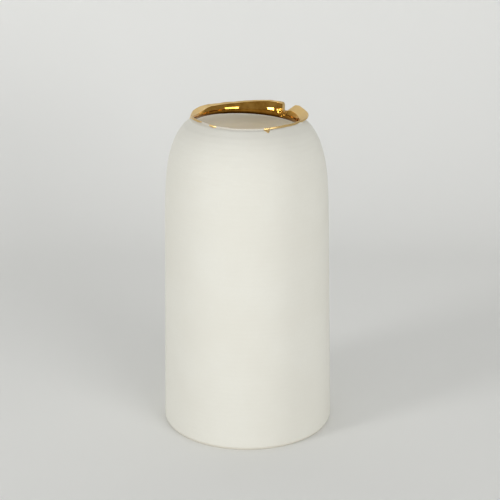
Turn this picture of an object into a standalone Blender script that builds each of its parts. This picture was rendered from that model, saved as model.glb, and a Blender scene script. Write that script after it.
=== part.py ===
"""Thrown porcelain vase with a torn rim, glazed inside and edged with gold lustre.

The body is one turned wall: a gently tapering cylinder that rounds through a
shoulder into an open mouth and stands on a bevelled foot ring. The rim was torn
while the clay was soft, so its edge rises, flares and breaks off around the mouth.
A glaze liner covers the inside, and films of gold lie over the rim.

Units are metres and +Z is up. The origin is the centre of the foot, on its plane.
Angles are in degrees, anticlockwise from +X seen from above.
"""

import math

import bpy
import bmesh

MM = 0.001
GAP = 0.3 * MM  # air between pieces that touch on the real object

# Foot
FOOT_BEVEL_HEIGHT = 2.4 * MM
FOOT_BEVEL_INSET = 1.4 * MM
FOOT_RING_INNER = 50.0 * MM
FOOT_RECESS = 1.2 * MM

# Outer wall: a taper that rounds into the shoulder as a superellipse
WALL_RADIUS = 60.5 * MM  # at the top of the foot bevel
WALL_TAPER = 3.5 * MM  # radius lost over TAPER_SPAN
TAPER_SPAN = 150.0 * MM
SHOULDER_START = 143.5 * MM
SHOULDER_RISE = 83.5 * MM
SHOULDER_POWER = 3.7

# Inside of the wall
WALL_THICKNESS = 3.6 * MM
SHOULDER_THICKNESS = 6.0 * MM
FLOOR_HEIGHT = 7.0 * MM
FLOOR_CORNER = 12.0 * MM

# Mouth
THROAT_RADIUS = 35.0 * MM
THROAT_ROUNDING = 0.9 * MM  # how far the wall has opened again at the glaze line
THROAT_ABOVE_LINE = 1.2 * MM
GLAZE_LINE = 216.3 * MM  # where the glaze ends and the gold begins
GLAZE_LINE_TILT = 1.9 * MM  # the line stands higher on the left than on the right
DOME_TOP = 212.0 * MM  # highest turned station below the glaze line
LIP_ROOT_RADIUS = 36.6 * MM  # widest radius of the crease between throat and lip
EDGE_THICKNESS = 1.2 * MM
EDGE_ROUNDING = 0.3 * MM
NECK_HEIGHT = 220.2 * MM  # where the underside of the lip leaves the shoulder
SHOULDER_TOP = 216.6 * MM  # highest turned station of the shoulder

# Torn rim: angle, height and radius of its edge (mm), and how steeply the lip falls
# from the edge to its crease, per unit of its width
TORN_RIM = (
    (0.0, 222.4, 42.0, 0.8),
    (15.0, 223.6, 42.1, 0.9),
    (30.0, 224.9, 42.0, 0.9),
    (33.75, 224.6, 41.6, 0.9),
    (37.5, 222.4, 39.4, 0.7),
    (41.25, 220.6, 37.4, 0.5),
    (45.0, 220.5, 37.3, 0.5),
    (48.75, 225.0, 39.3, 0.5),
    (56.25, 226.0, 39.0, 0.45),
    (67.5, 225.9, 38.7, 0.45),
    (78.75, 225.4, 38.6, 0.45),
    (97.5, 224.6, 38.3, 0.45),
    (123.75, 224.3, 38.7, 0.45),
    (131.25, 224.4, 39.2, 0.45),
    (138.75, 223.8, 41.6, 0.45),
    (146.25, 223.2, 41.7, 0.45),
    (157.5, 222.3, 40.7, 0.35),
    (165.0, 221.9, 39.7, 0.35),
    (172.5, 222.5, 38.6, 0.45),
    (191.25, 223.4, 37.6, 0.45),
    (202.5, 223.4, 36.9, 0.45),
    (221.25, 223.3, 36.8, 0.45),
    (232.5, 222.6, 37.0, 0.45),
    (251.25, 222.2, 37.0, 0.45),
    (285.0, 221.7, 37.0, 0.45),
    (307.5, 222.1, 37.0, 0.45),
    (330.0, 221.8, 37.6, 0.45),
    (337.5, 222.0, 38.5, 0.5),
    (345.0, 222.1, 40.0, 0.6),
    (352.5, 222.2, 41.3, 0.7),
    (360.0, 222.4, 42.0, 0.8),
)

# Glaze liner, thickened to a solid shell
GLAZE_THICKNESS = 0.6 * MM
GLAZE_REACH = 0.9  # share of the way from the top of the dome to the glaze line

# Gold films, thickened to solid shells
GOLD_THICKNESS = 0.35 * MM
GOLD_WRAP = 0.9 * MM  # how far the bands reach round the edge onto the outside
EDGE_STATION = 7  # index of the top of the edge in a film's path

# Facets
BODY_STEPS = 96
GLAZE_STEPS = 48
STEP_ANGLE = 360.0 / BODY_STEPS

OUTER_STATIONS = 14
PLAIN_ANGLE = 115.0  # where the rim is read for the turned shape, before it is torn

COLLECTION = "porcelain_vase"


def clear_scene():
    """Remove every object of the open scene."""
    for obj in list(bpy.data.objects):
        bpy.data.objects.remove(obj, do_unlink=True)


def new_collection(name):
    """Return a collection of this name, linked to the scene."""
    collection = bpy.data.collections.new(name)
    bpy.context.scene.collection.children.link(collection)
    return collection


def new_material(name, colour, roughness, metallic=0.0):
    """Return a Principled material of one colour."""
    material = bpy.data.materials.new(name)
    material.use_nodes = True
    shader = material.node_tree.nodes["Principled BSDF"]
    shader.inputs["Base Color"].default_value = (*colour, 1.0)
    shader.inputs["Roughness"].default_value = roughness
    shader.inputs["Metallic"].default_value = metallic
    return material


def add_object(name, mesh, material, collection):
    """Put a mesh into the collection as a smooth-shaded object."""
    obj = bpy.data.objects.new(name, mesh)
    mesh.materials.append(material)
    mesh.shade_smooth()
    collection.objects.link(obj)
    return obj


def taper_radius(height):
    """Radius of the outer wall before it rounds into the shoulder."""
    return WALL_RADIUS - WALL_TAPER * max(height - FOOT_BEVEL_HEIGHT, 0.0) / TAPER_SPAN


def shoulder_factor(height, rise):
    """Share of the wall's radius that is left at this height of a shoulder."""
    share = min(max(height - SHOULDER_START, 0.0) / rise, 0.999)
    return (1.0 - share**SHOULDER_POWER) ** (1.0 / SHOULDER_POWER)


def outer_radius(height):
    """Outer radius of the wall at this height."""
    return taper_radius(height) * shoulder_factor(height, SHOULDER_RISE)


def inner_radius(height):
    """Inner radius of the wall at this height, below the throat."""
    rise = SHOULDER_RISE - SHOULDER_THICKNESS
    radius = (taper_radius(height) - WALL_THICKNESS) * shoulder_factor(height, rise)
    corner = max(FLOOR_HEIGHT + FLOOR_CORNER - height, 0.0)
    sweep = math.sqrt(max(FLOOR_CORNER**2 - corner**2, 0.0))
    return radius - FLOOR_CORNER + sweep


def rim_edge(angle):
    """Height and radius of the torn edge at this angle, and the fall of its lip."""
    angle = angle % 360.0
    for low, high in zip(TORN_RIM, TORN_RIM[1:]):
        if low[0] <= angle <= high[0]:
            share = (angle - low[0]) / (high[0] - low[0])
            height, radius, slope = (a + share * (b - a) for a, b in zip(low[1:], high[1:]))
            return height * MM, max(radius * MM, outer_radius(height * MM)), slope
    raise ValueError(f"TORN_RIM has no span for angle {angle}")


def rim_section(angle):
    """Stations (radius, height) from the glaze line over the torn edge to the shoulder."""
    edge_height, edge_radius, slope = rim_edge(angle)
    line_height = GLAZE_LINE - GLAZE_LINE_TILT * math.cos(math.radians(angle))
    throat_height = line_height + THROAT_ABOVE_LINE
    crease_radius = min(edge_radius - EDGE_THICKNESS, LIP_ROOT_RADIUS)
    fall = slope * (edge_radius - EDGE_THICKNESS - crease_radius)
    crease_height = max(edge_height - EDGE_ROUNDING - fall, throat_height + 1.5 * MM)
    neck_height = min(NECK_HEIGHT, edge_height - 1.4 * MM)
    neck_radius = outer_radius(neck_height)
    under_height = edge_height - 0.8 * EDGE_THICKNESS
    top_radius = edge_radius - EDGE_ROUNDING
    stations = [(THROAT_RADIUS + THROAT_ROUNDING, line_height)]
    for step in range(4):
        share = step / 3.0
        radius = THROAT_RADIUS + (crease_radius - THROAT_RADIUS) * share**2
        stations.append((radius, throat_height + (crease_height - throat_height) * share))
    stations.append((0.5 * (crease_radius + top_radius), 0.5 * (crease_height + edge_height)))
    stations.append((top_radius, edge_height))
    stations.append((edge_radius, under_height))
    stations.append((0.5 * (edge_radius + neck_radius), 0.5 * (under_height + neck_height)))
    stations.append((neck_radius, neck_height))
    return stations


def inner_stations(base_height, top_height, count):
    """Stations up the inside of the wall, closer together towards the shoulder."""
    stations = []
    for step in range(count + 1):
        share = math.sin(0.5 * math.pi * step / count)
        height = base_height + (top_height - base_height) * share
        stations.append((inner_radius(height), height))
    return stations


def corner_stations(count):
    """Stations round the corner between the floor and the inside of the wall."""
    top = FLOOR_HEIGHT + FLOOR_CORNER
    centre = inner_radius(top) - FLOOR_CORNER
    stations = []
    for step in range(count):
        turn = 0.5 * math.pi * step / count
        radius = centre + FLOOR_CORNER * math.sin(turn)
        stations.append((radius, top - FLOOR_CORNER * math.cos(turn)))
    return stations


def body_profile():
    """Profile of the wall from the floor's centre over a plain rim to the foot's centre."""
    stations = [(0.0, FLOOR_HEIGHT), (0.55 * WALL_RADIUS, FLOOR_HEIGHT)]
    stations += corner_stations(4)
    stations += inner_stations(FLOOR_HEIGHT + FLOOR_CORNER, DOME_TOP, 9)
    stations += rim_section(PLAIN_ANGLE)
    for step in range(OUTER_STATIONS):
        share = math.cos(0.5 * math.pi * step / (OUTER_STATIONS - 1))
        height = FOOT_BEVEL_HEIGHT + (SHOULDER_TOP - FOOT_BEVEL_HEIGHT) * share
        stations.append((outer_radius(height), height))
    stations.append((WALL_RADIUS - FOOT_BEVEL_INSET, 0.0))
    stations.append((FOOT_RING_INNER, 0.0))
    stations.append((FOOT_RING_INNER - FOOT_RECESS, FOOT_RECESS))
    stations.append((0.0, FOOT_RECESS))
    return stations


def turned_mesh(name, profile, steps):
    """Turn a profile of (radius, height) stations about Z into a closed mesh."""
    outline = bpy.data.meshes.new(name + "_profile")
    points = [(radius, 0.0, height) for radius, height in profile]
    edges = [(index, index + 1) for index in range(len(points) - 1)]
    outline.from_pydata(points, edges, [])
    guide = bpy.data.objects.new(name + "_profile", outline)
    bpy.context.scene.collection.objects.link(guide)
    screw = guide.modifiers.new("Turn", "SCREW")
    screw.axis = "Z"
    screw.angle = 2.0 * math.pi
    screw.steps = steps
    screw.render_steps = steps
    screw.use_merge_vertices = True
    screw.merge_threshold = 0.00002
    screw.use_smooth_shade = True
    graph = bpy.context.evaluated_depsgraph_get()
    mesh = bpy.data.meshes.new_from_object(guide.evaluated_get(graph))
    mesh.name = name
    bpy.data.objects.remove(guide, do_unlink=True)
    return mesh


def reshape_stations(mesh, plain, stations_at):
    """Move the rings of a turned mesh from their plain stations to those of each angle."""
    for vertex in mesh.vertices:
        radius = math.hypot(vertex.co.x, vertex.co.y)
        for index, (plain_radius, plain_height) in enumerate(plain):
            if math.hypot(radius - plain_radius, vertex.co.z - plain_height) < 0.01 * MM:
                turn = math.atan2(vertex.co.y, vertex.co.x)
                new_radius, new_height = stations_at(math.degrees(turn))[index]
                vertex.co = (
                    new_radius * math.cos(turn),
                    new_radius * math.sin(turn),
                    new_height,
                )
                break


def offset_path(path, distance):
    """Move each station of a path to its left, the side away from the clay."""
    moved = []
    for index, (radius, height) in enumerate(path):
        before = path[max(index - 1, 0)]
        after = path[min(index + 1, len(path) - 1)]
        along_r = after[0] - before[0]
        along_z = after[1] - before[1]
        length = math.hypot(along_r, along_z)
        new_radius = radius - distance * along_z / length if radius > 0.0 else 0.0
        moved.append((new_radius, height + distance * along_r / length))
    return moved


def path_lengths(path):
    """Distance along a path to each of its stations."""
    lengths = [0.0]
    for before, after in zip(path, path[1:]):
        step = math.hypot(after[0] - before[0], after[1] - before[1])
        lengths.append(lengths[-1] + step)
    return lengths


def point_along(path, lengths, distance):
    """The point of a path at this distance from its start."""
    index = 1
    while index < len(path) - 1 and lengths[index] < distance:
        index += 1
    before = path[index - 1]
    after = path[index]
    share = (distance - lengths[index - 1]) / (lengths[index] - lengths[index - 1])
    return (
        before[0] + share * (after[0] - before[0]),
        before[1] + share * (after[1] - before[1]),
    )


def glaze_top(angle):
    """The two stations that end the liner below the glaze line, air side first."""
    foot = (inner_radius(DOME_TOP), DOME_TOP)
    line = rim_section(angle)[0]
    end = (
        foot[0] + GLAZE_REACH * (line[0] - foot[0]),
        foot[1] + GLAZE_REACH * (line[1] - foot[1]),
    )
    return [
        offset_path([foot, end], GAP + GLAZE_THICKNESS)[1],
        offset_path([foot, end], GAP)[1],
    ]


def film_distances(lengths, start, end, rows):
    """Even distances from start to end, with the nearest one moved onto each station."""
    distances = [start + (end - start) * row / (rows - 1) for row in range(rows)]
    for station in lengths:
        if start < station < end:
            nearest = min(range(1, rows - 1), key=lambda row: abs(distances[row] - station))
            distances[nearest] = station
    return distances


def film_column(angle, inner_reach, outer_reach, rows):
    """Points of a film at one angle, from inside the mouth over the edge to the outside."""
    path = [(inner_radius(DOME_TOP), DOME_TOP)]
    path += rim_section(angle)
    path.append((outer_radius(SHOULDER_TOP), SHOULDER_TOP))
    path = offset_path(path, GAP)
    lengths = path_lengths(path)
    edge = lengths[EDGE_STATION]
    turn = math.radians(angle)
    points = []
    for distance in film_distances(lengths, edge - inner_reach, edge + outer_reach, rows):
        radius, height = point_along(path, lengths, distance)
        points.append((radius * math.cos(turn), radius * math.sin(turn), height))
    return points


def column_angles(start, end, step):
    """The film's ends and every facet angle between them."""
    angles = [start]
    facet = math.floor(start / step) * step + step
    while facet < end - 0.05 * step:
        if facet > start + 0.05 * step:
            angles.append(facet)
        facet += step
    return angles + [end]


def build_film(name, span, reaches, rows, material, collection):
    """A film over the rim.

    span is its start angle, end angle and column step; reaches gives its inner and
    outer reach from the edge for a share of the span and an angle.
    """
    start, end, step = span
    shell = bmesh.new()
    grid = []
    for angle in column_angles(start, end, step):
        inner_reach, outer_reach = reaches((angle - start) / (end - start), angle)
        points = film_column(angle, inner_reach, outer_reach, rows)
        grid.append([shell.verts.new(point) for point in points])
    for left, right in zip(grid, grid[1:]):
        for row in range(rows - 1):
            shell.faces.new((left[row], left[row + 1], right[row + 1], right[row]))
    mesh = bpy.data.meshes.new(name)
    shell.to_mesh(mesh)
    shell.free()
    film = add_object(name, mesh, material, collection)
    solid = film.modifiers.new("Film", "SOLIDIFY")
    solid.thickness = GOLD_THICKNESS
    solid.offset = 1.0
    return film


def band_reaches(share, angle):
    """Reaches of a band of gold that runs from the glaze line round the edge."""
    path = [(inner_radius(DOME_TOP), DOME_TOP)] + rim_section(angle)
    lengths = path_lengths(offset_path(path, GAP))
    return lengths[EDGE_STATION] - lengths[1], GOLD_WRAP


def patch_reaches(inner_reach, outer_reach):
    """Reaches of a patch that swells from narrow ends to its full width."""
    def reaches(share, angle):
        swell = 0.35 + 0.65 * math.sqrt(max(1.0 - (2.0 * share - 1.0) ** 2, 0.0))
        return inner_reach * swell, outer_reach * swell
    return reaches


def build_body(collection):
    """The thrown wall with its floor, foot ring and torn rim."""
    clay = new_material("bare_porcelain", (0.80, 0.79, 0.72), 0.75)
    mesh = turned_mesh("porcelain_body", body_profile(), BODY_STEPS)
    reshape_stations(mesh, rim_section(PLAIN_ANGLE), rim_section)
    return add_object("porcelain_body", mesh, clay, collection)


def build_glaze(collection):
    """The glaze that lines the inside, from the floor to just below the gold."""
    glaze = new_material("clear_glaze", (0.62, 0.58, 0.49), 0.2)
    wall = [(0.0, FLOOR_HEIGHT), (0.55 * WALL_RADIUS, FLOOR_HEIGHT)]
    wall += corner_stations(4)
    wall += inner_stations(FLOOR_HEIGHT + FLOOR_CORNER, DOME_TOP, 9)
    air_side = offset_path(wall, GAP + GLAZE_THICKNESS)
    clay_side = offset_path(wall, GAP)
    profile = air_side + glaze_top(PLAIN_ANGLE) + clay_side[::-1]
    mesh = turned_mesh("interior_glaze", profile, GLAZE_STEPS)
    reshape_stations(mesh, glaze_top(PLAIN_ANGLE), glaze_top)
    return add_object("interior_glaze", mesh, glaze, collection)


def build_gold(collection):
    """Every film of lustre: two bands of lip, and the traces left on the torn front."""
    gold = new_material("gold_lustre", (0.72, 0.45, 0.13), 0.14, 1.0)
    build_film("gold_lip_band", (43.3, 183.75, STEP_ANGLE), band_reaches, 14, gold, collection)
    build_film("gold_lip_flap", (-18.75, 43.0, STEP_ANGLE), band_reaches, 14, gold, collection)
    line = patch_reaches(0.8 * MM, 0.8 * MM)
    build_film("gold_edge_line", (294.5, 340.0, STEP_ANGLE), line, 6, gold, collection)
    drip = patch_reaches(0.8 * MM, 3.0 * MM)
    build_film("gold_drip", (288.0, 294.0, 1.0), drip, 8, gold, collection)
    smear = patch_reaches(0.8 * MM, 1.8 * MM)
    build_film("gold_smear", (187.5, 214.5, STEP_ANGLE), smear, 8, gold, collection)
    fleck = patch_reaches(0.8 * MM, 1.6 * MM)
    build_film("gold_fleck", (228.5, 237.0, 1.5), fleck, 8, gold, collection)


def build_vase():
    """Build every piece of the vase in its own collection."""
    clear_scene()
    collection = new_collection(COLLECTION)
    build_body(collection)
    build_glaze(collection)
    build_gold(collection)


build_vase()
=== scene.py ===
"""Looks of a thrown porcelain vase with a torn rim under gold lustre.

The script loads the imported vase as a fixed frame, and dresses it: the clay wall is
turned on a wheel of Geometry Nodes and torn at its rim, the glaze and the gold are
laid over it, and a plain sweep, soft lights and a camera stand round it.

Lengths are metres and +Z is up. Angles are in radians, anticlockwise from +X seen
from above, unless a name or a comment says degrees.
"""

from __future__ import annotations

import logging
import math
from dataclasses import dataclass
from enum import Enum

import bpy
import numpy as np
from mathutils import Matrix, Vector


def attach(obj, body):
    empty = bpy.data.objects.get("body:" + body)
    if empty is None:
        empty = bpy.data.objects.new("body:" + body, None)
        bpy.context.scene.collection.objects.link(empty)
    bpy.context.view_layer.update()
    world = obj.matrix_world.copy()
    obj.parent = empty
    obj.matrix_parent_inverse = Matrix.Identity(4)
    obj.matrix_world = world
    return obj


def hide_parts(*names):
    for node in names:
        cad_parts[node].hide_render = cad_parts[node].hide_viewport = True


LOG = logging.getLogger("vase")
MM = 0.001
BODY = "root"

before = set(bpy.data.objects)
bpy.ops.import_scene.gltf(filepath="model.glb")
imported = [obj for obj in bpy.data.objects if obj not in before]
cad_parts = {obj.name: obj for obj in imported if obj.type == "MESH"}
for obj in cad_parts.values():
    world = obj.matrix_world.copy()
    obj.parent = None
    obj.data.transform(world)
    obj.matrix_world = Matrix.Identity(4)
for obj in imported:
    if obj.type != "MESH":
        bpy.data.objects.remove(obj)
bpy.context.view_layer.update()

Socket = bpy.types.NodeSocket
Colour = tuple[float, float, float, float]


class Finish(Enum):
    """Names of the record's material slots for the clay, the glaze and the gold."""

    CLAY = "bare_porcelain"
    GLAZE = "clear_glaze"
    GOLD = "gold_lustre"


# Node helpers


class NodeSketch:
    """Adds nodes to one shader or geometry tree and wires them, left to right."""

    def __init__(self, tree: bpy.types.NodeTree) -> None:
        """Keep the tree that every call adds to."""
        self.tree = tree

    def node(self, kind: str, **settings: object) -> bpy.types.Node:
        """Add a node.

        Args:
            kind: Its bl_idname.
            settings: Properties of the node to set.

        Returns:
            The new node.
        """
        made = self.tree.nodes.new(kind)
        for name, value in settings.items():
            setattr(made, name, value)
        return made

    def wire(self, source: Socket, target: Socket) -> None:
        """Link two sockets."""
        self.tree.links.new(source, target)

    def feed(self, target: Socket, value: object) -> None:
        """Link a socket into the target, or set the target to a plain value."""
        if isinstance(value, Socket):
            self.wire(value, target)
        else:
            target.default_value = value

    def pipe(self, kind: str, values: dict[str | int, object], **settings: object) -> Socket:
        """Add a node, feed some of its inputs and give its first output.

        Args:
            kind: Its bl_idname.
            values: Sockets or plain values, by the input's name or number.
            settings: Properties of the node to set.

        Returns:
            The node's first output.
        """
        made = self.node(kind, **settings)
        for name, value in values.items():
            self.feed(made.inputs[name], value)
        return made.outputs[0]

    def math(self, operation: str, *values: object) -> Socket:
        """Add a Math node on sockets or numbers and give its output."""
        return self.pipe("ShaderNodeMath", dict(enumerate(values)), operation=operation)

    def plus(self, base: object, value: Socket, factor: float) -> Socket:
        """Add a factor of a value to a base."""
        return self.math("ADD", base, self.math("MULTIPLY", value, factor))

    def axes(self, vector: Socket) -> bpy.types.NodeOutputs:
        """Split a vector into its three numbers."""
        made = self.node("ShaderNodeSeparateXYZ")
        self.wire(vector, made.inputs[0])
        return made.outputs

    def span(self, value: Socket, low: float, high: float,
             to_low: float = 0.0, to_high: float = 1.0) -> Socket:
        """Map a range of a value smoothly onto another range.

        Args:
            value: Socket to map.
            low: Value that gives to_low.
            high: Value that gives to_high.
            to_low: Start of the new range.
            to_high: End of the new range.

        Returns:
            The mapped value's socket.
        """
        return self.pipe("ShaderNodeMapRange",
                         {"Value": value, "From Min": low, "From Max": high,
                          "To Min": to_low, "To Max": to_high},
                         interpolation_type="SMOOTHSTEP")

    def mix(self, share: object, first: object, second: object) -> Socket:
        """Blend two colours.

        Args:
            share: Socket or number, 0 for the first colour and 1 for the second.
            first: Socket or RGBA tuple.
            second: Socket or RGBA tuple.

        Returns:
            The blended colour's socket.
        """
        made = self.node("ShaderNodeMix", data_type="RGBA")
        for at, value in ((0, share), (6, first), (7, second)):
            self.feed(made.inputs[at], value)
        return made.outputs[2]

    def noise(self, vector: Socket, scale: object, detail: float, roughness: float = 0.5,
              **settings: object) -> Socket:
        """Add a Noise Texture on a vector and give its value socket."""
        return self.pipe("ShaderNodeTexNoise",
                         {"Vector": vector, "Scale": scale, "Detail": detail,
                          "Roughness": roughness}, **settings)


class MaterialSketch(NodeSketch):
    """A material on its Principled shader, with the object's own coordinates at hand."""

    def __init__(self, name: str) -> None:
        """Start the material under this name."""
        self.material = bpy.data.materials.new(name)
        self.material.use_nodes = True
        super().__init__(self.material.node_tree)
        self.shader = self.tree.nodes["Principled BSDF"]
        self.place = self.node("ShaderNodeTexCoord").outputs["Object"]

    def effect(self, group: bpy.types.NodeTree, **values: float) -> Socket:
        """Place a shared group on the object's coordinates.

        Args:
            group: The group to place.
            values: The group's number inputs.

        Returns:
            The group's output.
        """
        return self.pipe("ShaderNodeGroup", {"Vector": self.place} | values, node_tree=group)

    def attribute(self, name: str) -> Socket:
        """Read a number that the mesh stores at each point."""
        return self.node("ShaderNodeAttribute", attribute_name=name).outputs["Fac"]

    def dress(self, **values: object) -> None:
        """Feed the shader's inputs, each named with underscores for spaces."""
        for name, value in values.items():
            self.feed(self.shader.inputs[name.replace("_", " ")], value)

    def bumps(self, *layers: tuple[Socket, float]) -> None:
        """Stack Bump nodes on the shader.

        Args:
            layers: The height and the depth of each, the broadest first.
        """
        below = {}
        for height, depth in layers:
            normal = self.pipe("ShaderNodeBump", {"Height": height, "Distance": depth} | below)
            below = {"Normal": normal}
        self.dress(**below)


class SurfaceEffects:
    """Shader node groups that more than one finish of the vase uses."""

    LINE_STRETCH = (6.0, 6.0, 260.0)  # noise along the throwing lines, per metre
    LINE_WAVE = 0.35  # share of a throwing line that repeats evenly
    LINE_DRIFT = 1.3  # share of it that wanders

    def __init__(self) -> None:
        """Build each group once."""
        self.throwing = self._throwing_lines()
        self.grain = self._patches("fine_grain", "Height", 0.35 * MM, 3.0, 0.62)
        self.cloud = self._patches("colour_cloud", "Mask", 30.0 * MM, 5.0, 0.6, (0.32, 0.68))

    @staticmethod
    def _start(name: str, inputs: dict[str, float],
               output: str) -> tuple[NodeSketch, bpy.types.NodeOutputs, Socket]:
        """Start a group on a vector and some numbers.

        Args:
            name: The group's name.
            inputs: Number inputs and their defaults, after a Vector input.
            output: The name of its one number output.

        Returns:
            A sketch of the group, its inputs' sockets and its output's socket.
        """
        tree = bpy.data.node_groups.new(name, "ShaderNodeTree")
        face = tree.interface
        face.new_socket("Vector", in_out="INPUT", socket_type="NodeSocketVector")
        for label, default in inputs.items():
            made = face.new_socket(label, in_out="INPUT", socket_type="NodeSocketFloat")
            made.default_value = default
        face.new_socket(output, in_out="OUTPUT", socket_type="NodeSocketFloat")
        sketch = NodeSketch(tree)
        start = sketch.node("NodeGroupInput").outputs
        return sketch, start, sketch.node("NodeGroupOutput").inputs[output]

    def _throwing_lines(self) -> bpy.types.NodeTree:
        """Make the group of faint spiral lines that fingers leave in thrown clay.

        Returns:
            A group whose Height output rises and falls along Z.
        """
        sketch, start, end = self._start("throwing_lines", {"Pitch": 3.0 * MM, "Waver": 0.6},
                                         "Height")
        parts = sketch.axes(start["Vector"])
        turn = sketch.math("ARCTAN2", parts[1], parts[0])
        climb = sketch.math("MULTIPLY", sketch.math("DIVIDE", parts[2], start["Pitch"]),
                            math.tau)
        squash = sketch.pipe("ShaderNodeVectorMath",
                             {0: start["Vector"], 1: self.LINE_STRETCH}, operation="MULTIPLY")
        drift = sketch.math("SUBTRACT", sketch.noise(squash, 1.0, 4.0, 0.6), 0.5)
        waver = sketch.math("MULTIPLY", drift,
                            sketch.math("MULTIPLY", start["Waver"], math.tau))
        phase = sketch.math("ADD", sketch.math("ADD", climb, turn), waver)
        wave = sketch.math("MULTIPLY", sketch.math("SINE", phase), self.LINE_WAVE)
        sketch.wire(sketch.plus(wave, drift, self.LINE_DRIFT), end)
        return sketch.tree

    def _patches(self, name: str, output: str, size: float, detail: float,
                 roughness: float,
                 limits: tuple[float, float] | None = None) -> bpy.types.NodeTree:
        """Make a group of noise whose patches have a size in metres.

        Args:
            name: The group's name.
            output: The name of its output.
            size: Its default size.
            detail: Octaves of the noise.
            roughness: How strong the finer octaves are.
            limits: Values of the noise to stretch to 0 and 1.

        Returns:
            The group.
        """
        sketch, start, end = self._start(name, {"Size": size}, output)
        value = sketch.noise(start["Vector"], sketch.math("DIVIDE", 1.0, start["Size"]),
                             detail, roughness)
        sketch.wire(sketch.span(value, *limits) if limits else value, end)
        return sketch.tree


# Finishes


@dataclass(frozen=True)
class BarePorcelain:
    """Unglazed, finely sanded porcelain of a warm white."""

    colour: Colour = (0.685, 0.677, 0.617, 1.0)
    shade: Colour = (0.662, 0.648, 0.582, 1.0)
    shade_share: float = 0.7
    speckle_share: float = 0.22
    # Painted shade: a darker, warmer tone over the foot's bevel, standing in for the warm
    # shade in the gap under the wall
    foot: Colour = (0.672, 0.645, 0.570, 1.0)
    foot_shade_heights: tuple[float, float] = (2.1 * MM, 2.7 * MM)
    # Painted shade: a darker tone over the top of the torn edge, where it faces up
    torn: Colour = (0.560, 0.530, 0.455, 1.0)
    rim_shade_heights: tuple[float, float] = (220.4 * MM, 221.6 * MM)
    roughness: float = 0.62
    speckle_roughness: float = 0.08
    specular: float = 0.3
    line_depth: float = 0.08 * MM
    line_heights: tuple[float, float] = (150.0 * MM, 205.0 * MM)
    low_lines: float = 0.35  # how deep the lines are below those heights
    grain_depth: float = 0.02 * MM

    def build(self, effects: SurfaceEffects) -> bpy.types.Material:
        """Build the material.

        Args:
            effects: The shared shader groups.

        Returns:
            The finished material.
        """
        sketch = MaterialSketch("vase_bare_porcelain")
        height = sketch.axes(sketch.place)[2]
        cloud = sketch.effect(effects.cloud, Size=45.0 * MM)
        speckle = sketch.effect(effects.cloud, Size=1.6 * MM)
        lines = sketch.effect(effects.throwing, Pitch=3.4 * MM, Waver=0.7)
        grain = sketch.effect(effects.grain, Size=0.3 * MM)
        layers = ((sketch.math("MULTIPLY", cloud, self.shade_share), self.shade),
                  (sketch.math("MULTIPLY", speckle, self.speckle_share), self.shade),
                  # painted warm shade at the foot
                  (sketch.span(height, *self.foot_shade_heights, 1.0, 0.0), self.foot),
                  # painted shade along the top of the rim
                  (sketch.span(height, *self.rim_shade_heights), self.torn))
        body = self.colour
        for share, tone in layers:
            body = sketch.mix(share, body, tone)
        upper = sketch.span(height, *self.line_heights, self.low_lines, 1.0)
        sketch.dress(Base_Color=body, Specular_IOR_Level=self.specular,
                     Roughness=sketch.plus(self.roughness, speckle, self.speckle_roughness))
        sketch.bumps((sketch.math("MULTIPLY", lines, upper), self.line_depth),
                     (grain, self.grain_depth))
        return sketch.material


@dataclass(frozen=True)
class ClearGlaze:
    """Satin glaze over the inside of the wall, a little beige where it lies thick."""

    colour: Colour = (0.92, 0.895, 0.83, 1.0)
    pool: Colour = (0.89, 0.855, 0.77, 1.0)
    roughness: float = 0.28
    pool_roughness: float = 0.12
    line_depth: float = 0.12 * MM
    grain_depth: float = 0.015 * MM
    # Painted light: emission that brightens the inside of the wall between these heights,
    # standing in for light that falls into the mouth
    painted_light: Colour = (1.0, 0.87, 0.64, 1.0)
    painted_light_strength: float = 0.22
    painted_light_rise: tuple[float, float] = (165.0 * MM, 200.0 * MM)
    painted_light_fall: tuple[float, float] = (204.0 * MM, 217.0 * MM)

    def build(self, effects: SurfaceEffects) -> bpy.types.Material:
        """Build the material.

        Args:
            effects: The shared shader groups.

        Returns:
            The finished material.
        """
        sketch = MaterialSketch("vase_clear_glaze")
        cloud = sketch.effect(effects.cloud, Size=24.0 * MM)
        lines = sketch.effect(effects.throwing, Pitch=5.0 * MM, Waver=0.8)
        grain = sketch.effect(effects.grain, Size=0.8 * MM)
        height = sketch.axes(sketch.place)[2]
        # Painted light: the inside glows between these heights
        painted_light_mask = sketch.math("MULTIPLY", sketch.span(height, *self.painted_light_rise),
                          sketch.span(height, *self.painted_light_fall, 1.0, 0.0))
        sketch.dress(Base_Color=sketch.mix(cloud, self.colour, self.pool),
                     Emission_Color=sketch.mix(painted_light_mask, (0.0, 0.0, 0.0, 1.0), self.painted_light),
                     Emission_Strength=self.painted_light_strength,
                     Roughness=sketch.plus(self.roughness, cloud, self.pool_roughness))
        sketch.bumps((lines, self.line_depth), (grain, self.grain_depth))
        return sketch.material


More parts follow.
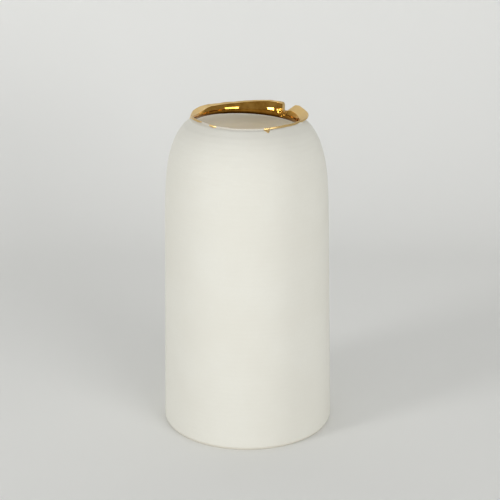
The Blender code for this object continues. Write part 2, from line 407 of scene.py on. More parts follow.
@dataclass(frozen=True)
class GoldLustre:
    """Fired gold, mirror-bright over glaze and matte where it lies on bare clay."""

    colour: Colour = (0.64, 0.35, 0.075, 1.0)
    deep: Colour = (0.44, 0.21, 0.030, 1.0)
    # Painted reflection: darker gold near the throat, standing in for the dark inside of the
    # vase that the band mirrors
    dark_reflection: Colour = (0.22, 0.095, 0.012, 1.0)
    pale: Colour = (0.70, 0.50, 0.22, 1.0)
    roughness: float = 0.03
    deep_roughness: float = 0.04
    matte: float = 0.42
    line_depth: float = 0.012 * MM
    grain_depth: float = 0.004 * MM

    def build(self, effects: SurfaceEffects) -> bpy.types.Material:
        """Build the material.

        Args:
            effects: The shared shader groups.

        Returns:
            The finished material.
        """
        sketch = MaterialSketch("vase_gold_lustre")
        cloud = sketch.effect(effects.cloud, Size=6.0 * MM)
        lines = sketch.effect(effects.throwing, Pitch=1.7 * MM, Waver=0.9)
        grain = sketch.effect(effects.grain, Size=0.5 * MM)
        clay = sketch.attribute("bare_clay")
        # Painted reflection: the gold darkens where the throat mark is high
        bright = sketch.mix(sketch.attribute("throat"),
                            sketch.mix(cloud, self.colour, self.deep), self.dark_reflection)
        gloss = sketch.plus(self.roughness, cloud, self.deep_roughness)
        sketch.dress(Base_Color=sketch.mix(clay, bright, self.pale), Metallic=1.0,
                     Roughness=sketch.plus(gloss, clay, self.matte - self.roughness))
        sketch.bumps((lines, self.line_depth), (grain, self.grain_depth))
        return sketch.material


@dataclass(frozen=True)
class SweepPaper:
    """Pale matte paper, faintly uneven."""

    colour: Colour = (0.800, 0.803, 0.782, 1.0)
    shade: Colour = (0.768, 0.771, 0.753, 1.0)
    shade_share: float = 0.25
    roughness: float = 0.85
    cloud_scale: float = 3.0  # patches per metre
    grain_scale: float = 900.0
    grain_depth: float = 0.02 * MM

    def build(self) -> bpy.types.Material:
        """Build the material.

        Returns:
            The finished material.
        """
        sketch = MaterialSketch("studio_paper")
        grain = sketch.noise(sketch.place, self.grain_scale, 2.0)
        cloud = sketch.noise(sketch.place, self.cloud_scale, 2.0)
        share = sketch.math("MULTIPLY", cloud, self.shade_share)
        sketch.dress(Base_Color=sketch.mix(share, self.colour, self.shade),
                     Roughness=self.roughness)
        sketch.bumps((grain, self.grain_depth))
        return sketch.material


# Shape of the wall


@dataclass(frozen=True)
class WallShape:
    """Sizes of the thrown wall, and the rules its inner and outer faces follow."""

    wall_radius: float = 60.5 * MM
    taper: float = 3.5 * MM
    taper_span: float = 150.0 * MM
    bevel_height: float = 2.4 * MM
    bevel_inset: float = 1.4 * MM
    shoulder_start: float = 143.5 * MM
    shoulder_rise: float = 83.5 * MM
    shoulder_power: float = 3.7
    thickness: float = 3.6 * MM
    shoulder_thickness: float = 6.0 * MM
    floor_height: float = 7.0 * MM
    floor_corner: float = 12.0 * MM
    ring_inner: float = 50.0 * MM
    recess: float = 1.2 * MM
    dome_top: float = 212.0 * MM
    shoulder_top: float = 216.6 * MM
    floor_rows: int = 9
    corner_rows: int = 11
    row_crowding: float = 0.9  # below 1, the inner rows crowd towards the dome

    def _taper(self, height: np.ndarray) -> np.ndarray:
        """Radius of the outer wall before it rounds into the shoulder."""
        above = np.maximum(height - self.bevel_height, 0.0)
        return self.wall_radius - self.taper * above / self.taper_span

    def _shoulder(self, height: np.ndarray, rise: float) -> np.ndarray:
        """Share of the radius left at each height of a shoulder of this rise."""
        share = np.clip((height - self.shoulder_start) / rise, 0.0, 0.999)
        return (1.0 - share**self.shoulder_power) ** (1.0 / self.shoulder_power)

    def outer(self, height: np.ndarray) -> np.ndarray:
        """Outer radius at each height."""
        return self._taper(height) * self._shoulder(height, self.shoulder_rise)

    def inner(self, height: np.ndarray) -> np.ndarray:
        """Inner radius at each height above the floor's corner."""
        rise = self.shoulder_rise - self.shoulder_thickness
        return (self._taper(height) - self.thickness) * self._shoulder(height, rise)

    def inner_outline(self, rows: int) -> np.ndarray:
        """Trace the inside from the floor's centre up to the top of the dome.

        Args:
            rows: Number of stations up the wall.

        Returns:
            Stations as (radius, height) rows.
        """
        top = self.floor_height + self.floor_corner
        centre = float(self.inner(np.array(top))) - self.floor_corner
        floor = np.linspace(0.0, centre, self.floor_rows + 1)[:-1]
        turn = np.linspace(0.0, math.pi / 2.0, self.corner_rows + 1)[:-1]
        rise = np.linspace(0.0, math.pi / 2.0, rows)
        height = top + (self.dome_top - top) * np.sin(rise) ** self.row_crowding
        radius = np.concatenate([floor, centre + self.floor_corner * np.sin(turn),
                                 self.inner(height)])
        level = np.concatenate([np.full(floor.size, self.floor_height),
                                top - self.floor_corner * np.cos(turn), height])
        return np.stack([radius, level], axis=1)

    def outer_outline(self, rows: int) -> np.ndarray:
        """Trace the outside from the top of the shoulder to the foot's centre.

        Args:
            rows: Number of stations down the wall.

        Returns:
            Stations as (radius, height) rows.
        """
        fall = np.linspace(0.0, math.pi / 2.0, rows)
        height = self.bevel_height + (self.shoulder_top - self.bevel_height) * np.cos(fall)
        height[-1] = self.bevel_height + 0.35 * MM
        wall = np.stack([self.outer(height), height], axis=1)
        edge = self.wall_radius
        inset = self.bevel_inset
        ring = self.ring_inner
        foot = np.array([
            (edge - 0.08 * MM, self.bevel_height - 0.05 * MM),
            (edge - 0.35 * MM, self.bevel_height - 0.55 * MM),
            (edge - 0.5 * inset, 0.5 * self.bevel_height),
            (edge - inset + 0.1 * MM, 0.35 * MM),
            (edge - inset - 0.25 * MM, 0.03 * MM),
            (edge - inset - 0.6 * MM, 0.0),
            (0.5 * (edge - inset + ring), 0.0),
            (ring + 0.5 * MM, 0.0),
            (ring + 0.1 * MM, 0.08 * MM),
            (ring - 0.4 * self.recess, 0.5 * self.recess),
            (ring - 1.1 * self.recess, 0.95 * self.recess),
            (ring - 2.0 * self.recess, self.recess),
            (0.6 * ring, self.recess),
            (0.3 * ring, self.recess),
            (0.0, self.recess),
        ])
        return np.concatenate([wall, foot])


# Stations of the rim's section, by name
DOME, LINE, THROAT, CREASE, EDGE, SHOULDER = 0, 1, 2, 6, 9, 13


@dataclass(frozen=True)
class TornRim:
    """The torn rim: where its edge runs, and the section of the wall below the edge."""

    shape: WallShape
    throat_radius: float = 35.1 * MM
    throat_rounding: float = 0.9 * MM
    throat_above_line: float = 1.2 * MM
    waist: float = 0.2  # share of the way from throat to crease where the mouth is narrowest
    glaze_line: float = 216.3 * MM
    glaze_line_tilt: float = 1.9 * MM
    lip_root_radius: float = 36.2 * MM
    root_spread: float = 0.3  # how much wider the crease is for each mm of rim above tall_rim
    tall_rim: float = 6.4 * MM
    crease_rounding: float = 0.25 * MM
    edge_thickness: float = 1.2 * MM
    edge_rounding: float = 0.3 * MM
    neck_height: float = 220.2 * MM
    neck_drop: float = 1.4 * MM  # least height of the edge over the neck
    lip_rise: float = 1.5 * MM  # least height of the crease over the throat
    under_edge: float = 0.8  # share of the edge's thickness below its top
    corner_softness: float = 0.6  # degrees over which the table's corners are rounded
    ragged: float = 0.06 * MM
    crumple: float = 0.22 * MM
    crumple_angle: float = 46.0  # degrees
    crumple_span: float = 6.5  # degrees
    crumple_fade: float = 1.5  # stations over which the creases die away
    seed: int = 11
    # Angle in degrees, height and radius of the edge in millimetres, and how steeply
    # the lip falls from the edge to its crease, as a fall for each unit of radius
    edge: tuple[tuple[float, float, float, float], ...] = (
        (0.0, 223.2, 42.0, 0.9),
        (5.0, 223.4, 42.1, 0.9),
        (15.0, 223.8, 42.1, 0.9),
        (22.0, 224.4, 42.0, 0.9),
        (29.0, 224.9, 42.0, 0.9),
        (34.0, 224.7, 41.4, 0.9),
        (37.0, 222.9, 40.0, 0.7),
        (39.0, 221.3, 38.2, 0.5),
        (41.0, 220.6, 37.4, 0.5),
        (45.4, 220.3, 37.2, 0.5),
        (46.4, 224.9, 39.4, 0.5),
        (47.6, 225.7, 39.2, 0.45),
        (58.0, 226.0, 39.0, 0.45),
        (65.0, 226.0, 38.7, 0.45),
        (78.0, 225.5, 38.6, 0.45),
        (97.0, 224.6, 38.3, 0.45),
        (124.0, 224.3, 38.7, 0.45),
        (133.0, 224.4, 39.3, 0.35),
        (136.0, 224.0, 41.0, 0.12),
        (140.0, 223.5, 42.0, 0.12),
        (146.0, 223.2, 41.7, 0.25),
        (155.0, 222.4, 41.0, 0.32),
        (164.0, 221.9, 39.6, 0.35),
        (171.0, 222.4, 38.7, 0.45),
        (180.0, 223.0, 38.0, 0.45),
        (191.0, 223.4, 37.6, 0.45),
        (203.0, 223.4, 36.9, 0.45),
        (220.0, 223.3, 36.8, 0.45),
        (232.0, 222.6, 37.0, 0.45),
        (251.0, 222.2, 37.0, 0.45),
        (286.0, 221.7, 37.0, 0.45),
        (307.0, 222.1, 37.0, 0.45),
        (330.0, 221.8, 37.6, 0.45),
        (338.0, 222.0, 38.5, 0.5),
        (345.0, 222.1, 40.0, 0.6),
        (352.0, 222.7, 41.4, 0.8),
        (360.0, 223.2, 42.0, 0.9),
    )

    def _ragged(self, turn: np.ndarray, first: int, last: int, offset: int) -> np.ndarray:
        """Noise round the rim that closes on itself.

        Args:
            turn: Angles.
            first: Lowest number of waves round the rim.
            last: Highest number of waves round the rim.
            offset: Added to the seed.

        Returns:
            Noise of about unit size at each angle.
        """
        draw = np.random.default_rng(self.seed + offset)
        waves = np.arange(first, last + 1)
        phase = draw.uniform(0.0, math.tau, waves.size)
        size = draw.uniform(0.4, 1.0, waves.size) / waves**0.5
        total = np.zeros_like(turn)
        for wave, start, scale in zip(waves, phase, size):
            total += scale * np.sin(wave * turn + start)
        return total / float(np.sqrt(np.sum(size**2) / 2.0))

    def edge_at(self, turn: np.ndarray) -> tuple[np.ndarray, np.ndarray, np.ndarray]:
        """Read the torn edge, with its corners a little rounded.

        Args:
            turn: Angles.

        Returns:
            Height and radius of the edge, and the fall of its lip, at each angle.
        """
        table = np.array(self.edge)
        degrees = np.degrees(turn)
        shifts = np.linspace(-self.corner_softness, self.corner_softness, 5)
        height, radius, slope = (
            np.mean([np.interp((degrees + shift) % 360.0, table[:, 0], table[:, column])
                     for shift in shifts], axis=0)
            for column in (1, 2, 3))
        return height * MM, np.maximum(radius * MM, self.shape.outer(height * MM)), slope

    def _crumple(self, turn: np.ndarray, marks: np.ndarray) -> np.ndarray:
        """Creases that the tear left in the mouth's wall at the notch.

        Args:
            turn: Angles, one for each column.
            marks: Positions along the section, one row of them for each column.

        Returns:
            How far each point of the section is pushed inwards.
        """
        away = (np.degrees(turn)[:, None] - self.crumple_angle + 180.0) % 360.0 - 180.0
        near = np.exp(-(away / self.crumple_span) ** 2)
        inside = (np.clip((marks - LINE) / self.crumple_fade, 0.0, 1.0)
                  * np.clip((EDGE - marks) / self.crumple_fade, 0.0, 1.0))
        fold = (np.sin(0.95 * away + 2.1 * marks) * np.cos(0.31 * away - 2.9 * marks + 1.0)
                + 0.6 * np.sin(1.9 * away - 3.7 * marks + 2.0))
        return self.crumple * near * inside * fold

    def stations(self, turn: np.ndarray) -> np.ndarray:
        """Give the section's stations, from the dome over the edge to the shoulder.

        Args:
            turn: Angles.

        Returns:
            An array of angles by stations by (radius, height).
        """
        edge_height, edge_radius, slope = self.edge_at(turn)
        line = self.glaze_line - self.glaze_line_tilt * np.cos(turn)
        throat = line + self.throat_above_line
        taller = np.maximum(edge_height - throat - self.tall_rim, 0.0)
        crease = np.minimum(edge_radius - self.edge_thickness,
                            self.lip_root_radius + self.root_spread * taller)
        fall = slope * (edge_radius - self.edge_thickness - crease)
        crease_height = np.maximum(edge_height - self.edge_rounding - fall,
                                   throat + self.lip_rise)
        edge_height = edge_height + self.ragged * self._ragged(turn, 9, 45, 0)
        edge_radius = edge_radius + 0.7 * self.ragged * self._ragged(turn, 7, 40, 1)
        neck_height = np.minimum(self.neck_height, edge_height - self.neck_drop)
        neck = self.shape.outer(neck_height)
        under = edge_height - self.under_edge * self.edge_thickness
        top = edge_radius - self.edge_rounding
        dome = self.shape.dome_top
        full = np.ones_like(turn)
        rise = crease_height - throat
        rows = [(self.shape.inner(np.array(dome)) * full, dome * full),
                ((self.throat_radius + self.throat_rounding) * full, line)]
        near_crease = 1.0 - self.crease_rounding / rise
        for share in (0.0, 1.0 / 3.0, 2.0 / 3.0, near_crease, 1.0):
            open_share = ((share - self.waist) / (1.0 - self.waist)) ** 2
            rows.append((self.throat_radius + (crease - self.throat_radius) * open_share,
                         throat + rise * share))
        lip = np.hypot(top - crease, edge_height - crease_height)
        for share in (self.crease_rounding / lip, 0.5):
            rows.append((crease + share * (top - crease),
                         crease_height + share * (edge_height - crease_height)))
        last = self.shape.shoulder_top
        rows += [(top, edge_height), (edge_radius, under),
                 (0.5 * (edge_radius + neck), 0.5 * (under + neck_height)),
                 (neck, neck_height),
                 (self.shape.outer(np.array(last)) * full, last * full)]
        return np.stack([np.stack(pair, axis=-1) for pair in rows], axis=1)

    def path(self, turn: np.ndarray, marks: np.ndarray) -> np.ndarray:
        """Sample the section as a smooth curve through its stations.

        Args:
            turn: Angles, one for each column.
            marks: Positions along the section, in stations, the same for every
                column or one row of them for each column.

        Returns:
            An array of columns by marks by (radius, height).
        """
        stations = self.stations(turn)
        count = stations.shape[1]
        marks = np.broadcast_to(marks, (turn.size, marks.shape[-1]))
        low = np.clip(np.floor(marks).astype(int), 0, count - 2)
        share = (marks - low)[..., None]
        column = np.arange(turn.size)[:, None]
        before = stations[column, np.maximum(low - 1, 0)]
        first = stations[column, low]
        second = stations[column, low + 1]
        after = stations[column, np.minimum(low + 2, count - 1)]
        slope_in = 0.5 * (second - before)
        slope_out = 0.5 * (after - first)
        gap = np.linalg.norm(second - first, axis=-1, keepdims=True)
        for slope in (slope_in, slope_out):
            length = np.linalg.norm(slope, axis=-1, keepdims=True)
            slope *= np.minimum(1.0, gap / np.maximum(length, 1e-9))
        square = share * share
        cube = square * share
        curve = ((2 * cube - 3 * square + 1) * first + (cube - 2 * square + share) * slope_in
                 + (3 * square - 2 * cube) * second + (cube - square) * slope_out)
        curve[..., 0] -= self._crumple(turn, marks)
        return curve

    def beside(self, turn: np.ndarray, marks: np.ndarray, distance: np.ndarray) -> np.ndarray:
        """Sample the section, moved into the air by a distance.

        Args:
            turn: Angles, one for each column.
            marks: Positions along the section, one row of them for each column.
            distance: How far to move each point, in the shape of marks.

        Returns:
            An array of columns by marks by (radius, height).
        """
        step = 0.02
        along = self.path(turn, marks + step) - self.path(turn, np.maximum(marks - step, 0.0))
        along /= np.linalg.norm(along, axis=-1, keepdims=True)
        aside = np.stack([-along[..., 1], along[..., 0]], axis=-1)
        return self.path(turn, marks) + distance[..., None] * aside

    def bend(self, mesh: bpy.types.Mesh, rows: dict[int, tuple[float, float]]) -> None:
        """Move rows of a turned mesh onto the section, and drop its outline rows.

        Args:
            mesh: A mesh from the wheel.
            rows: Mark and distance into the air of each outline row to move.
        """
        place = np.empty(len(mesh.vertices) * 3, np.float32)
        mesh.vertices.foreach_get("co", place)
        place = place.reshape(-1, 3).astype(float)
        row = np.empty(len(mesh.vertices), np.float32)
        mesh.attributes["outline_row"].data.foreach_get("value", row)
        row = np.rint(row).astype(int)
        chosen = np.nonzero(np.isin(row, list(rows)))[0]
        turn = np.arctan2(place[chosen, 1], place[chosen, 0])
        wanted = np.array([rows[at] for at in row[chosen].tolist()])
        section = self.beside(turn, wanted[:, :1], wanted[:, 1:])
        place[chosen] = lay_round(section, turn)[:, 0]
        mesh.vertices.foreach_set("co", place.astype(np.float32).ravel())
        mesh.attributes.remove(mesh.attributes["outline_row"])
        mesh.update()


# Mesh and object helpers


def put_in_scene(name: str, data: bpy.types.ID) -> bpy.types.Object:
    """Add an object with this data to the scene."""
    made = bpy.data.objects.new(name, data)
    bpy.context.scene.collection.objects.link(made)
    return made


def lay_round(section: np.ndarray, turn: np.ndarray) -> np.ndarray:
    """Turn columns of (radius, height) points to their angles.

    Args:
        section: An array of columns by rows by (radius, height).
        turn: The angle of each column.

    Returns:
        An array of columns by rows by (x, y, z).
    """
    radius = section[..., 0]
    return np.stack([radius * np.cos(turn)[:, None], radius * np.sin(turn)[:, None],
                     section[..., 1]], axis=-1)


def add_piece(name: str, mesh: bpy.types.Mesh, material: bpy.types.Material,
              finish: Finish, *nodes: str) -> bpy.types.Object:
    """Put a finished mesh into the scene as a piece that rides on the vase.

    Args:
        name: The piece's name.
        mesh: Its mesh, in place.
        material: Its material.
        finish: Not used.
        nodes: CAD nodes that it stands for.

    Returns:
        The new object.
    """
    mesh.materials.clear()
    mesh.materials.append(material)
    mesh.shade_smooth()
    piece = put_in_scene(name, mesh)
    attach(piece, BODY)
    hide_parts(*nodes)
    LOG.info("%s: %d faces", name, len(mesh.polygons))
    return piece


def shell_mesh(name: str, face: np.ndarray, back: np.ndarray) -> bpy.types.Mesh:
    """Close a sheet and its back into one thin solid.

    Args:
        name: The mesh's name.
        face: Columns by rows by (x, y, z) of the side in the air.
        back: The same for the side against the clay.

    Returns:
        A closed mesh whose faces point outwards.
    """
    columns, rows = face.shape[:2]
    points = np.concatenate([face.reshape(-1, 3), back.reshape(-1, 3)])
    index = np.arange(columns * rows).reshape(columns, rows)
    under = index + columns * rows
    quads = [np.stack([index[:-1, :-1], index[:-1, 1:], index[1:, 1:], index[1:, :-1]], -1),
             np.stack([under[:-1, :-1], under[1:, :-1], under[1:, 1:], under[:-1, 1:]], -1)]
    for line, low in ((index[0], under[0]), (index[:, -1], under[:, -1]),
                      (index[-1, ::-1], under[-1, ::-1]), (index[::-1, 0], under[::-1, 0])):
        quads.append(np.stack([line[:-1], low[:-1], low[1:], line[1:]], -1))
    faces = np.concatenate([quad.reshape(-1, 4) for quad in quads])
    mesh = bpy.data.meshes.new(name)
    mesh.from_pydata(points.tolist(), [], faces.tolist())
    mesh.validate()
    mesh.update()
    return mesh


def grid_normals(grid: np.ndarray) -> np.ndarray:
    """Unit normals of a sheet, pointing to the left of its columns.

    Args:
        grid: Columns by rows by (x, y, z).

    Returns:
        An array of the same shape.
    """
    along = np.gradient(grid, axis=1)
    across = np.gradient(grid, axis=0)
    normal = np.cross(along, across)
    length = np.linalg.norm(normal, axis=-1, keepdims=True)
    return normal / np.maximum(length, 1e-12)


# The thrown wall


class WheelTree:
    """A Geometry Nodes tree that turns an outline about Z, as a wheel does."""

    INPUTS = (
        ("Steps", "NodeSocketInt", 400),
        ("Crowding", "NodeSocketFloat", 0.45),
        ("Crowded Angle", "NodeSocketFloat", math.radians(42.0)),
        ("Groove Depth", "NodeSocketFloat", 0.05 * MM),
        ("Groove Pitch", "NodeSocketFloat", 11.0 * MM),
        ("Groove Seed", "NodeSocketFloat", 3.0),
        ("Material", "NodeSocketMaterial", None),
    )
    MOUTH_FADE = (42.0 * MM, 50.0 * MM)  # radii over which the grooves start
    FOOT_FADE = (5.0 * MM, 20.0 * MM)  # heights over which the grooves start
    SEAM_FADE = 0.25  # how slowly the grooves die away towards the seam
    WELD = 0.0005 * MM  # points at the seam and on the axis merge within this

    def __init__(self) -> None:
        """Build the tree."""
        tree = bpy.data.node_groups.new("turn_on_wheel", "GeometryNodeTree")
        self.tree = tree
        self.sketch = NodeSketch(tree)
        face = tree.interface
        face.new_socket("Outline", in_out="INPUT", socket_type="NodeSocketGeometry")
        for label, kind, default in self.INPUTS:
            made = face.new_socket(label, in_out="INPUT", socket_type=kind)
            if default is not None:
                made.default_value = default
        face.new_socket("Wall", in_out="OUTPUT", socket_type="NodeSocketGeometry")
        self._wire(self.sketch.node("NodeGroupInput").outputs)

    def _wire(self, start: bpy.types.NodeOutputs) -> None:
        """Lay out the nodes: a grid, its rows on the outline and its columns round Z.

        Args:
            start: The sockets of the tree's inputs.
        """
        sketch, maths = self.sketch, self.sketch.math
        size = sketch.node("GeometryNodeAttributeDomainSize")
        sketch.wire(start["Outline"], size.inputs[0])
        rows = size.outputs["Point Count"]
        index = sketch.node("GeometryNodeInputIndex").outputs[0]
        column = maths("FLOOR", maths("DIVIDE", maths("ADD", index, 0.5), rows))
        row = maths("SUBTRACT", index, maths("MULTIPLY", column, rows))
        share = maths("DIVIDE", column, start["Steps"])
        even = maths("MULTIPLY", share, math.tau)
        crowd = maths("SINE", maths("SUBTRACT", even, start["Crowded Angle"]))
        turn = maths("SUBTRACT", even, maths("MULTIPLY", start["Crowding"], crowd))
        place = sketch.node("GeometryNodeInputPosition").outputs[0]
        spot = sketch.axes(sketch.pipe("GeometryNodeSampleIndex",
                                       {0: start["Outline"], 1: place, "Index": row},
                                       data_type="FLOAT_VECTOR"))
        radius = maths("SUBTRACT", spot[0], self._groove(start, spot, share, turn))
        turned = sketch.pipe("ShaderNodeCombineXYZ",
                             {0: maths("MULTIPLY", radius, maths("COSINE", turn)),
                              1: maths("MULTIPLY", radius, maths("SINE", turn)), 2: spot[2]})
        made = sketch.pipe("GeometryNodeMeshGrid",
                           {"Vertices X": maths("ADD", start["Steps"], 1.0),
                            "Vertices Y": rows})
        for kind, values, settings in (
                ("GeometryNodeSetPosition", {"Position": turned}, {}),
                ("GeometryNodeStoreNamedAttribute", {"Name": "outline_row", "Value": row},
                 {"data_type": "FLOAT", "domain": "POINT"}),
                ("GeometryNodeMergeByDistance", {"Distance": self.WELD}, {}),
                ("GeometryNodeRealizeInstances", {}, {}),
                ("GeometryNodeSetMaterial", {"Material": start["Material"]}, {})):
            made = sketch.pipe(kind, {"Geometry": made} | values, **settings)
        sketch.wire(made, sketch.node("NodeGroupOutput").inputs[0])

    def _groove(self, start: bpy.types.NodeOutputs, spot: bpy.types.NodeOutputs,
                share: Socket, turn: Socket) -> Socket:
        """Add the shallow spiral grooves that fingers leave.

        Args:
            start: The sockets of the tree's inputs.
            spot: The outline's place, of which 0 is the radius and 2 the height.
            share: The column's share of the way round.
            turn: The column's angle.

        Returns:
            How deep the groove is at each point.
        """
        sketch, maths = self.sketch, self.sketch.math
        spiral = maths("ADD", maths("DIVIDE", spot[2], start["Groove Pitch"]),
                       maths("DIVIDE", turn, math.tau))
        along = sketch.pipe("ShaderNodeCombineXYZ", {0: spiral, 1: start["Groove Seed"]})
        rings = sketch.noise(along, 1.0, 1.0, noise_dimensions="2D")
        groove = maths("MULTIPLY", maths("SUBTRACT", rings, 0.5),
                       maths("MULTIPLY", start["Groove Depth"], 2.0))
        strength = maths("MULTIPLY", sketch.span(spot[0], *self.MOUTH_FADE),
                         sketch.span(spot[2], *self.FOOT_FADE))
        seam = maths("POWER", maths("SINE", maths("MULTIPLY", share, math.pi)),
                     self.SEAM_FADE)
        return maths("MULTIPLY", maths("ABSOLUTE", groove),
                     maths("MULTIPLY", strength, seam))

    def turn(self, name: str, outline: np.ndarray, **values: object) -> bpy.types.Mesh:
        """Turn an outline into a mesh.

        Args:
            name: The mesh's name.
            outline: Stations as (radius, height) rows.
            values: The tree's inputs, with spaces as underscores.

        Returns:
            The turned mesh, with its modifier applied and removed.
        """
        chain = bpy.data.meshes.new(name + "_outline")
        points = [(radius, 0.0, height) for radius, height in outline.tolist()]
        chain.from_pydata(points, [(at, at + 1) for at in range(len(points) - 1)], [])
        guide = put_in_scene(name + "_outline", chain)
        wheel = guide.modifiers.new("Wheel", "NODES")
        wheel.node_group = self.tree
        sockets = {item.name: item.identifier for item in self.tree.interface.items_tree
                   if item.item_type == "SOCKET" and item.in_out == "INPUT"}
        for label, value in values.items():
            wheel[sockets[label.replace("_", " ")]] = value
        graph = bpy.context.evaluated_depsgraph_get()
        mesh = bpy.data.meshes.new_from_object(guide.evaluated_get(graph))
        mesh.name = name
        guide.modifiers.remove(wheel)
        bpy.data.objects.remove(guide, do_unlink=True)
        return mesh


@dataclass
class ThrownWall:
    """The clay wall with its floor and foot, turned and then torn."""

    shape: WallShape
    rim: TornRim
    wheel: WheelTree
    steps: int = 400
    inner_rows: int = 46
    rim_rows: int = 66
    outer_rows: int = 70
    plain_angle: float = math.radians(115.0)  # where the untorn section is taken

    def build(self, material: bpy.types.Material) -> bpy.types.Object:
        """Build the piece.

        Args:
            material: The clay's finish.

        Returns:
            The finished piece.
        """
        inner = self.shape.inner_outline(self.inner_rows)[:-1]
        marks = np.linspace(DOME, SHOULDER, self.rim_rows)
        rim = self.rim.path(np.array([self.plain_angle]), marks)[0]
        outer = self.shape.outer_outline(self.outer_rows)[1:]
        mesh = self.wheel.turn("clay_wall", np.concatenate([inner, rim, outer]),
                               Steps=self.steps, Material=material)
        self.rim.bend(mesh, {row: (mark, 0.0)
                             for row, mark in enumerate(marks.tolist(), len(inner))})
        return add_piece("clay_wall", mesh, material, Finish.CLAY, "porcelain_body")


@dataclass
class GlazeLiner:
    """The glaze inside the wall, from the floor to the slanting glaze line."""

    shape: WallShape
    rim: TornRim
    wheel: WheelTree
    lift: float = 0.05 * MM
    thickness: float = 0.25 * MM
    steps: int = 240
    wall_rows: int = 46
    line_rows: int = 8
    reach: float = 0.95  # share of the way from the dome to the glaze line

    def build(self, material: bpy.types.Material) -> bpy.types.Object:
        """Build the piece.

        Args:
            material: The glaze's finish.

        Returns:
            The finished piece.
        """
        wall = self.shape.inner_outline(self.wall_rows)
        marks = np.linspace(DOME, self.reach, self.line_rows)[1:]
        middle = np.array([0.5 * math.pi])  # the glaze line is at its mean height here
        rows = np.arange(len(wall), len(wall) + marks.size)
        last_row = 2 * (len(wall) + marks.size) - 1
        outline, lined = [], {}
        for distance, at in ((self.lift + self.thickness, rows), (self.lift, last_row - rows)):
            away = np.full_like(marks, distance)
            line = self.rim.beside(middle, marks[None], away[None])[0]
            side = np.concatenate([self._offset(wall, distance), line])
            outline.append(side[::-1] if outline else side)
            lined |= dict(zip(at.tolist(), zip(marks, away)))
        mesh = self.wheel.turn("glaze_liner", np.concatenate(outline), Steps=self.steps,
                               Groove_Depth=0.0, Crowding=0.0, Material=material)
        self.rim.bend(mesh, lined)
        return add_piece("glaze_liner", mesh, material, Finish.GLAZE, "interior_glaze")

    @staticmethod
    def _offset(path: np.ndarray, distance: float) -> np.ndarray:
        """Move a path to its left, keeping its start on the axis."""
        along = np.gradient(path, axis=0)
        along /= np.linalg.norm(along, axis=1, keepdims=True)
        moved = path + distance * np.stack([-along[:, 1], along[:, 0]], axis=1)
        moved[0, 0] = 0.0
        return moved


# Gold


@dataclass(frozen=True)
class GoldFilm:
    """One film of lustre over a stretch of the rim.

    The film runs from one angle in degrees to another, and from an inner mark of the
    rim's section to an outer one. Its sides waver, and may taper towards its ends.
    """

    name: str
    node: str
    start: float
    end: float
    inner: float
    outer: float
    rows: int
    columns: int
    waver: float
    seed: int
    taper: float = 0.0
    lift: float = 0.03 * MM
    thickness: float = 0.10 * MM
    clay_fade: float = 0.8  # stations past the crease until the film lies on bare clay
    reflection_reach: float = 1.2  # stations past the throat that the painted dark reflection reaches
    reflection_fade: float = 1.4  # stations over which it comes in
    waves: tuple[int, int] = (3, 40)  # first wave of the waver, and one past its last

    def build(self, rim: TornRim, material: bpy.types.Material) -> bpy.types.Object:
        """Build the film.

        Args:
            rim: The rim that it covers.
            material: The gold's finish.

        Returns:
            The finished piece.
        """
        turn = np.radians(np.linspace(self.start, self.end, self.columns))
        share = np.linspace(0.0, 1.0, self.columns)
        swell = np.sqrt(np.maximum(1.0 - (2.0 * share - 1.0) ** 2, 0.0))
        swell = 1.0 - self.taper * (1.0 - swell)
        middle = 0.5 * (self.inner + self.outer)
        low, high = (middle + (side + self.waver * drift - middle) * swell
                     for side, drift in zip((self.inner, self.outer), self._drift(turn)))
        spread = np.linspace(0.0, 1.0, self.rows)
        marks = low[:, None] + (high - low)[:, None] * spread[None]
        sheet = lay_round(rim.path(turn, marks), turn)
        normal = grid_normals(sheet)
        back = sheet + self.lift * normal
        face = sheet + (self.lift + self.thickness) * normal
        mesh = shell_mesh(self.name, face, back)
        over_clay = np.clip((marks - CREASE) / self.clay_fade, 0.0, 1.0)
        # Painted reflection: the throat mark darkens the gold near the throat
        throat_reflection = np.clip((THROAT + self.reflection_reach - marks) / self.reflection_fade, 0.0, 1.0)
        for label, values in (("bare_clay", over_clay), ("throat", throat_reflection)):
            mark = mesh.attributes.new(label, "FLOAT", "POINT")
            mark.data.foreach_set("value", np.tile(values.ravel(), 2).astype(np.float32))
        return add_piece(self.name, mesh, material, Finish.GOLD, self.node)

    def _drift(self, turn: np.ndarray) -> np.ndarray:
        """Give the smooth noise by which each side of the film wavers.

        Args:
            turn: The angle of each column.

        Returns:
            Noise for the inner side and for the outer side.
        """
        draw = np.random.default_rng(self.seed)
        drift = np.zeros((2, turn.size))
        for wave in range(*self.waves):
            phase = draw.uniform(0.0, math.tau, 2)
            size = draw.uniform(0.2, 1.0, 2) / wave**0.5
            drift += size[:, None] * np.sin(wave * turn[None] * 2.0 + phase[:, None])
        return drift


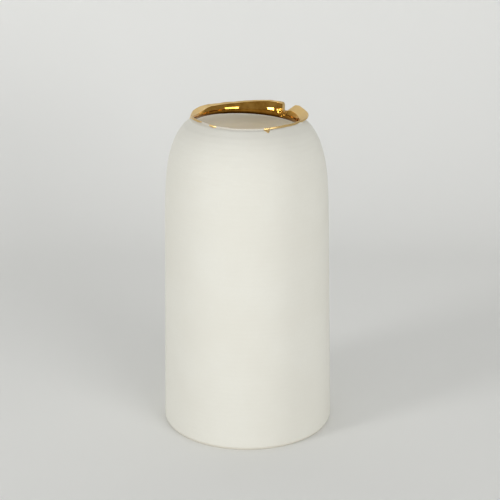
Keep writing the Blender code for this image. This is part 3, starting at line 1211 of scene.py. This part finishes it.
@dataclass
class GoldWork:
    """Every film of lustre on the rim."""

    rim: TornRim
    films: tuple[GoldFilm, ...] = (
        GoldFilm("lip_band_gold", "gold_lip_band", 43.2, 184.0, 1.0, 11.2, 90, 400,
                 waver=0.03, seed=1),
        GoldFilm("lip_flap_gold", "gold_lip_flap", -18.5, 43.1, 1.0, 11.2, 90, 200,
                 waver=0.03, seed=2),
        GoldFilm("edge_line_gold", "gold_edge_line", 294.1, 341.2, 7.9, 10.6, 24, 110,
                 waver=0.08, taper=0.35, seed=3),
        GoldFilm("drip_gold", "gold_drip", 287.7, 294.0, 8.6, 12.3, 24, 24,
                 waver=0.05, taper=0.8, seed=4),
        GoldFilm("smear_gold", "gold_smear", 186.0, 216.0, 8.3, 10.2, 24, 90,
                 waver=0.10, taper=0.7, seed=5),
        GoldFilm("fleck_gold", "gold_fleck", 228.0, 237.5, 8.6, 10.4, 20, 36,
                 waver=0.08, taper=0.9, seed=6),
    )

    def build(self, material: bpy.types.Material) -> list[bpy.types.Object]:
        """Build every film.

        Args:
            material: The gold's finish.

        Returns:
            The finished pieces.
        """
        return [film.build(self.rim, material) for film in self.films]


# Studio


@dataclass(frozen=True)
class SoftBox:
    """One soft light, aimed at the middle of the vase.

    Its bearing is in degrees from the front towards the right, its rise is in
    degrees above the middle of the vase, and its power is in watts.
    """

    name: str
    bearing: float
    rise: float
    distance: float
    width: float
    height: float
    power: float
    aim: tuple[float, float, float] = (0.0, 0.0, 0.12)

    def build(self) -> None:
        """Add the light to the scene."""
        lamp = bpy.data.lights.new(self.name, "AREA")
        lamp.shape = "RECTANGLE"
        lamp.size = self.width
        lamp.size_y = self.height
        lamp.energy = self.power
        bearing, rise = math.radians(self.bearing), math.radians(self.rise)
        away = Vector((math.sin(bearing) * math.cos(rise),
                       -math.cos(bearing) * math.cos(rise), math.sin(rise)))
        light = put_in_scene(self.name, lamp)
        light.location = Vector(self.aim) + self.distance * away
        light.rotation_euler = (-away).to_track_quat("-Z", "Y").to_euler()


@dataclass
class Studio:
    """Floor sweep, soft lights and camera."""

    front: float = -4.5
    bend_start: float = 0.35
    bend_radius: float = 0.4
    wall_top: float = 2.2
    half_width: float = 4.0
    bend_steps: int = 48
    camera_place: tuple[float, float, float] = (0.0, -0.8346, 0.4079)
    camera_pitch: float = math.radians(18.653)
    camera_roll: float = math.radians(-0.204)
    camera_yaw: float = math.radians(0.142)
    lens: float = 90.0
    sensor: float = 36.0
    boxes: tuple[SoftBox, ...] = (
        SoftBox("box_right", 34.0, 10.0, 1.7, 0.95, 0.42, 14.2),
        SoftBox("box_left", -56.0, 10.0, 1.7, 0.42, 0.42, 12.9),
        SoftBox("box_above", 0.0, 75.0, 1.6, 1.2, 0.8, 1.4),
        SoftBox("box_behind", 180.0, 50.0, 0.95, 1.6, 0.2, 0.85),
    )
    room: Colour = (1.0, 1.0, 1.0, 1.0)
    room_strength: float = 0.362
    paper: SweepPaper = SweepPaper()

    def build(self) -> None:
        """Build the whole studio."""
        self._sweep()
        for box in self.boxes:
            box.build()
        self._room()
        self._camera()
        settings = bpy.context.scene.view_settings
        settings.view_transform = "Standard"
        settings.look = "None"

    def _sweep(self) -> None:
        """Build the paper sweep, from in front of the vase up behind it."""
        bend = [(self.bend_start + self.bend_radius * math.sin(turn),
                 self.bend_radius * (1.0 - math.cos(turn)))
                for turn in np.linspace(0.0, math.pi / 2.0, self.bend_steps)]
        run = [(self.front, 0.0)] + bend + [(bend[-1][0], self.wall_top)]
        points = [(side * self.half_width, depth, height)
                  for depth, height in run for side in (-1.0, 1.0)]
        faces = [(2 * at, 2 * at + 1, 2 * at + 3, 2 * at + 2) for at in range(len(run) - 1)]
        mesh = bpy.data.meshes.new("paper_sweep")
        mesh.from_pydata(points, [], faces)
        mesh.shade_smooth()
        mesh.materials.append(self.paper.build())
        sweep = put_in_scene("paper_sweep", mesh)

    def _room(self) -> None:
        """Light the room evenly from all round."""
        world = bpy.data.worlds.new("studio_room")
        world.use_nodes = True
        back = world.node_tree.nodes["Background"]
        back.inputs["Color"].default_value = self.room
        back.inputs["Strength"].default_value = self.room_strength
        bpy.context.scene.world = world

    def _camera(self) -> None:
        """Stand the camera in front of the vase, looking down at it."""
        pitch, yaw, roll = self.camera_pitch, self.camera_yaw, self.camera_roll
        look = Vector((math.sin(yaw) * math.cos(pitch),
                       math.cos(yaw) * math.cos(pitch), -math.sin(pitch)))
        right = Vector((math.cos(yaw), -math.sin(yaw), 0.0))
        rise = right.cross(look)
        tilted = math.cos(roll) * right + math.sin(roll) * rise
        rise = math.cos(roll) * rise - math.sin(roll) * right
        axes = Matrix((tilted, rise, -look)).transposed()
        lens = bpy.data.cameras.new("camera")
        lens.lens = self.lens
        lens.sensor_width = self.sensor
        lens.clip_start = 0.01
        camera = put_in_scene("camera", lens)
        camera.matrix_world = Matrix.Translation(self.camera_place) @ axes.to_4x4()
        bpy.context.scene.camera = camera


def main() -> None:
    """Build the vase and its studio, and report each piece."""
    logging.basicConfig(level=logging.INFO, format="%(name)s %(message)s")
    effects = SurfaceEffects()
    shape = WallShape()
    rim = TornRim(shape)
    wheel = WheelTree()
    ThrownWall(shape, rim, wheel).build(BarePorcelain().build(effects))
    GlazeLiner(shape, rim, wheel).build(ClearGlaze().build(effects))
    GoldWork(rim).build(GoldLustre().build(effects))
    Studio().build()


if __name__ == "__main__":
    main()
